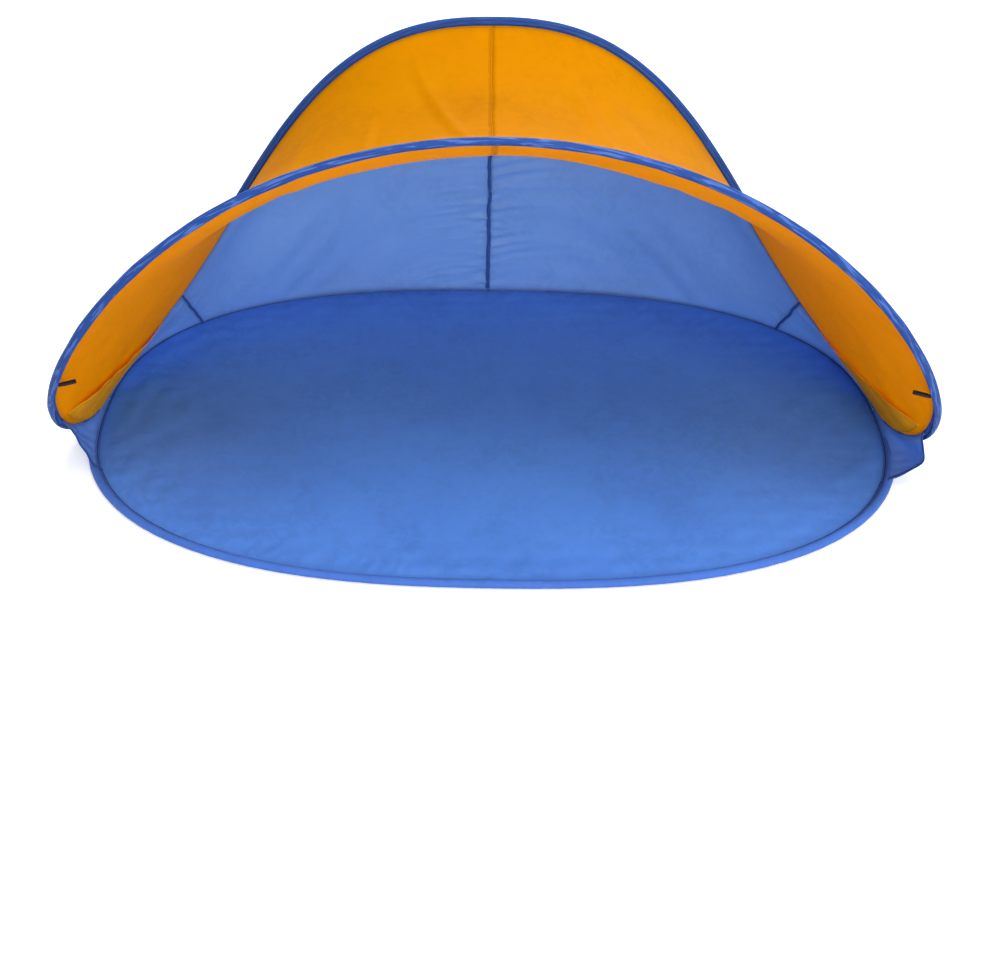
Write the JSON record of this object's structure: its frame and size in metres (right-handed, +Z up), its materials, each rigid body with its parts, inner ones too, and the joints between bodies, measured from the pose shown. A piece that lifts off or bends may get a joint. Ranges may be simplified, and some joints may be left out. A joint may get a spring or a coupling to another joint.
{
  "type": "beach tent",
  "caption": "Pop-up beach tent: a saddle-shaped spring hoop holds an orange roof over an oval blue groundsheet, with low blue walls, an open front and side pockets.",
  "frame": {"origin": "on the ground, in the middle of the groundsheet's outline", "axes": "+X to the right of a person who looks in through the open front, +Y to the back, +Z up"},
  "size_m": [2.0682, 1.2514, 0.9925],
  "materials": {
    "blue_cloth": "thin coated polyester, plain weave",
    "deep_blue_cloth": "doubled polyester seam and hem cloth",
    "orange_cloth": "thin coated polyester, plain weave, lets light through",
    "black_webbing": "woven webbing",
    "spring_steel": "bare spring-steel wire"
  },
  "bodies": {
    "base": {"floor_rear": "blue_cloth", "floor_hem_rear": "blue_cloth", "floor_hoop_rear": "spring_steel", "floor_hoop_ferrule": "spring_steel", "lobe_sleeve_right": "blue_cloth", "lobe_wire_right": "spring_steel", "roof_right": "orange_cloth", "back_wall_right": "blue_cloth", "side_wall_right": "blue_cloth", "side_seam_tape_right": "deep_blue_cloth", "gusset_right": "blue_cloth", "gusset_hem_right": "deep_blue_cloth", "pocket_right": "orange_cloth", "pocket_hem_right": "orange_cloth", "lobe_sleeve_left": "blue_cloth", "lobe_wire_left": "spring_steel", "roof_left": "orange_cloth", "back_wall_left": "blue_cloth", "side_wall_left": "blue_cloth", "side_seam_tape_left": "deep_blue_cloth", "gusset_left": "blue_cloth", "gusset_hem_left": "deep_blue_cloth", "pocket_left": "orange_cloth", "pocket_hem_left": "orange_cloth", "roof_seam_tape": "orange_cloth", "back_seam_tape": "deep_blue_cloth"},
    "floor_front": {"floor_front": "blue_cloth", "floor_hem_front": "blue_cloth", "floor_hoop_front": "spring_steel"},
    "front_arch": {"front_arch_sleeve": "blue_cloth", "front_arch_wire": "spring_steel"},
    "rear_arch": {"rear_arch_sleeve": "blue_cloth", "rear_arch_wire": "spring_steel", "roof_hoop_ferrule": "spring_steel"},
    "tie_loop_left": {"tie_loop_left": "black_webbing"},
    "tie_loop_right": {"tie_loop_right": "black_webbing"}
  },
  "joints": [
    {"name": "floor_front_fold", "type": "hinge", "parent": "base", "child": "floor_front", "pos_m": [0, 0.05, 0.0194], "axis": [-1, 0, 0], "range_deg": [0, 150], "stiffness_Nm_per_rad": 3, "springref_deg": -20.05, "deforming": ["lobe_sleeve_right", "lobe_wire_right", "roof_right", "back_wall_right", "side_wall_right", "side_seam_tape_right", "gusset_right", "gusset_hem_right", "pocket_right", "pocket_hem_right", "lobe_sleeve_left", "lobe_wire_left", "roof_left", "back_wall_left", "side_wall_left", "side_seam_tape_left", "gusset_left", "gusset_hem_left", "pocket_left", "pocket_hem_left", "roof_seam_tape", "back_seam_tape"]},
    {"name": "front_arch_fold", "type": "hinge", "parent": "base", "child": "front_arch", "pos_m": [0, 0.05, 0.0194], "axis": [-1, 0, 0], "range_deg": [0, 82.5]},
    {"name": "rear_arch_fold", "type": "hinge", "parent": "base", "child": "rear_arch", "pos_m": [0, 0.05, 0.0194], "axis": [-1, 0, 0], "range_deg": [0, 39]},
    {"name": "tie_loop_right_flex", "type": "hinge", "parent": "front_arch", "child": "tie_loop_right", "pos_m": [0.96858, -0.33869, 0.33378], "axis": [-0.3591, -0.2957, 0.8852], "range_deg": [-25, 25], "stiffness_Nm_per_rad": 0.01},
    {"name": "tie_loop_left_flex", "type": "hinge", "parent": "front_arch", "child": "tie_loop_left", "pos_m": [-0.96858, -0.33869, 0.33378], "axis": [0.3591, -0.2957, 0.8852], "range_deg": [-25, 25], "stiffness_Nm_per_rad": 0.01}
  ],
  "couplings": [
    {"joint": "front_arch_fold", "follows": "floor_front_fold", "ratio": 0.55},
    {"joint": "rear_arch_fold", "follows": "floor_front_fold", "ratio": 0.26}
  ]
}
